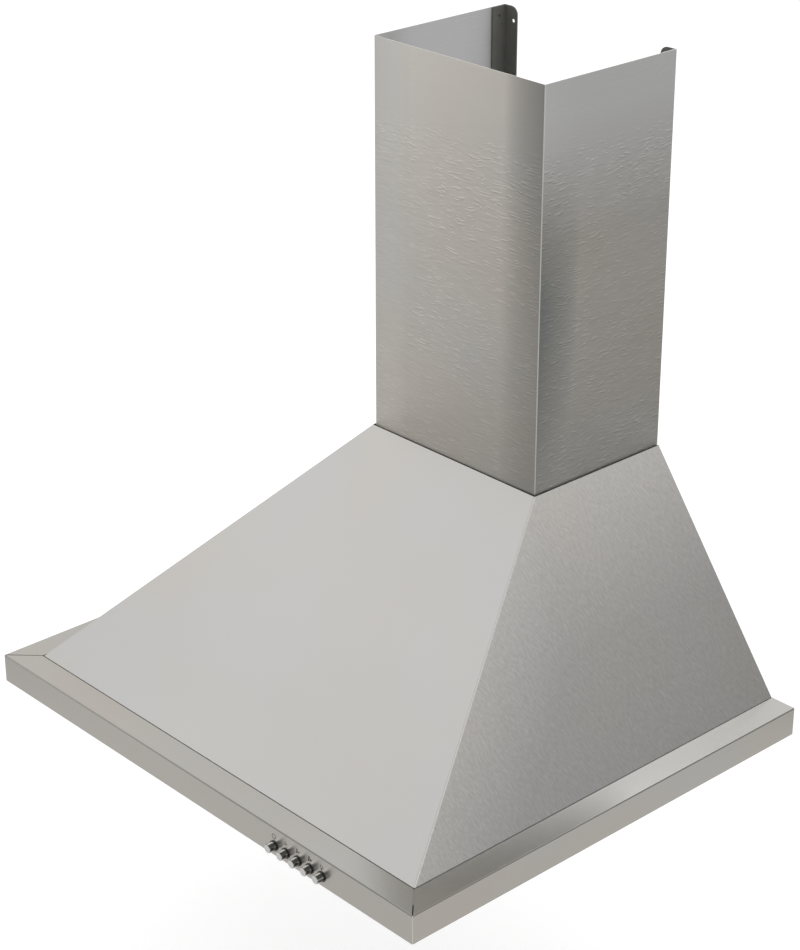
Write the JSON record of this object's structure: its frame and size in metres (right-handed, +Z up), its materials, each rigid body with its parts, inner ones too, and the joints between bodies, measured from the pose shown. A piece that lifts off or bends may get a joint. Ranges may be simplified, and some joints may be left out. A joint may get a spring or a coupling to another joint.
{
  "type": "chimney range hood",
  "caption": "Wall chimney range hood: pyramid canopy with a flat rim and push buttons under an upright duct cover, with blower, outlet flaps, grease filters and lamps.",
  "frame": {"origin": "on the wall plane, in the middle of the canopy's width, level with the lower edge of the rim", "axes": "+X to the right seen from the front, +Y into the wall, +Z up; the front faces -Y"},
  "size_m": [0.6, 0.508, 0.637],
  "materials": {
    "brushed_cover": "brushed across the width",
    "brushed_canopy": "brushed along the folds",
    "brushed_rim": "brushed along the rim",
    "inner_steel": "plain rolled sheet",
    "dark_steel": "dark grey, satin",
    "moulded_plastic": "black, fine texture",
    "flap_plastic": "dark grey",
    "wheel_plastic": "dark grey",
    "motor_steel": "grey enamel",
    "bright_steel": "ground",
    "screw_steel": "zinc plated",
    "grommet_rubber": "black",
    "capacitor_case": "pale grey",
    "lead_sheath": "black",
    "filter_aluminium": "satin",
    "catch_plastic": "black",
    "lamp_chrome": "polished",
    "lamp_glass": "frosted",
    "button_chrome": "polished",
    "bezel_plastic": "black"
  },
  "bodies": {
    "hood": {"rim": "brushed_rim", "canopy_shell": "brushed_canopy", "foot_strips": "inner_steel", "back_plate": "inner_steel", "top_plate": "inner_steel", "neck_strips": "inner_steel", "duct_cover": "brushed_cover", "corner_angle_left": "dark_steel", "corner_angle_right": "dark_steel", "cover_brackets": "inner_steel", "cover_bracket_screws": "screw_steel", "outlet_collar": "moulded_plastic", "collar_ring": "moulded_plastic", "collar_screws": "screw_steel", "damper_pin": "bright_steel", "volute_left": "moulded_plastic", "volute_right": "moulded_plastic", "volute_screws": "screw_steel", "blower_screws": "screw_steel", "motor_body": "motor_steel", "motor_bearings": "bright_steel", "motor_bracket": "inner_steel", "motor_grommets": "grommet_rubber", "motor_screws": "screw_steel", "terminal_box": "moulded_plastic", "terminal_box_lid": "moulded_plastic", "capacitor": "capacitor_case", "cable_gland": "grommet_rubber", "switch_lead": "lead_sheath", "under_panel": "inner_steel", "panel_skirt": "inner_steel", "rod_lugs": "inner_steel", "panel_brackets": "inner_steel", "panel_screws": "screw_steel", "filter_rods": "bright_steel", "lamp_can_left": "inner_steel", "lamp_can_right": "inner_steel", "lamp_ring_left": "lamp_chrome", "lamp_ring_right": "lamp_chrome", "lamp_lens_left": "lamp_glass", "lamp_lens_right": "lamp_glass", "button_bezels": "bezel_plastic", "switch_block": "moulded_plastic", "switch_strap": "inner_steel", "switch_screws": "screw_steel"},
    "flap_front": {"damper_flap_front": "flap_plastic"},
    "flap_rear": {"damper_flap_rear": "flap_plastic"},
    "fan_wheel": {"impeller": "wheel_plastic", "motor_shaft": "bright_steel"},
    "filter_left": {"filter_frame_left": "filter_aluminium", "filter_mesh_left": "filter_aluminium"},
    "filter_right": {"filter_frame_right": "filter_aluminium", "filter_mesh_right": "filter_aluminium"},
    "catch_left": {"filter_latch_left": "catch_plastic"},
    "catch_right": {"filter_latch_right": "catch_plastic"},
    "key_off": {"button_off": "button_chrome"},
    "key_low": {"button_low": "button_chrome"},
    "key_medium": {"button_medium": "button_chrome"},
    "key_high": {"button_high": "button_chrome"},
    "key_light": {"button_light": "button_chrome"}
  },
  "joints": [
    {"name": "press_off", "type": "slide", "parent": "hood", "child": "key_off", "axis": [0, 1, 0], "range_m": [0, 0.004], "stiffness_N_per_m": 400, "springref_m": -0.004},
    {"name": "press_low", "type": "slide", "parent": "hood", "child": "key_low", "axis": [0, 1, 0], "range_m": [0, 0.004], "stiffness_N_per_m": 400, "springref_m": -0.004},
    {"name": "press_medium", "type": "slide", "parent": "hood", "child": "key_medium", "axis": [0, 1, 0], "range_m": [0, 0.004], "stiffness_N_per_m": 400, "springref_m": -0.004},
    {"name": "press_high", "type": "slide", "parent": "hood", "child": "key_high", "axis": [0, 1, 0], "range_m": [0, 0.004], "stiffness_N_per_m": 400, "springref_m": -0.004},
    {"name": "press_light", "type": "slide", "parent": "hood", "child": "key_light", "axis": [0, 1, 0], "range_m": [0, 0.004], "stiffness_N_per_m": 400, "springref_m": -0.004},
    {"name": "flap_front_swing", "type": "hinge", "parent": "hood", "child": "flap_front", "pos_m": [0, -0.085, 0.2585], "axis": [-1, 0, 0], "range_deg": [0, 70]},
    {"name": "flap_rear_swing", "type": "hinge", "parent": "hood", "child": "flap_rear", "pos_m": [0, -0.085, 0.2585], "axis": [1, 0, 0], "range_deg": [0, 70]},
    {"name": "fan_spin", "type": "hinge", "parent": "hood", "child": "fan_wheel", "pos_m": [0, -0.105, 0.128], "axis": [1, 0, 0], "continuous": true},
    {"name": "filter_left_drop", "type": "hinge", "parent": "hood", "child": "filter_left", "pos_m": [-0.1402, -0.04, 0.007], "axis": [1, 0, 0], "range_deg": [0, 50]},
    {"name": "catch_left_slide", "type": "slide", "parent": "filter_left", "child": "catch_left", "axis": [0, 1, 0], "range_m": [0, 0.006], "stiffness_N_per_m": 300, "springref_m": -0.004},
    {"name": "filter_right_drop", "type": "hinge", "parent": "hood", "child": "filter_right", "pos_m": [0.1402, -0.04, 0.007], "axis": [1, 0, 0], "range_deg": [0, 50]},
    {"name": "catch_right_slide", "type": "slide", "parent": "filter_right", "child": "catch_right", "axis": [0, 1, 0], "range_m": [0, 0.006], "stiffness_N_per_m": 300, "springref_m": -0.004}
  ]
}
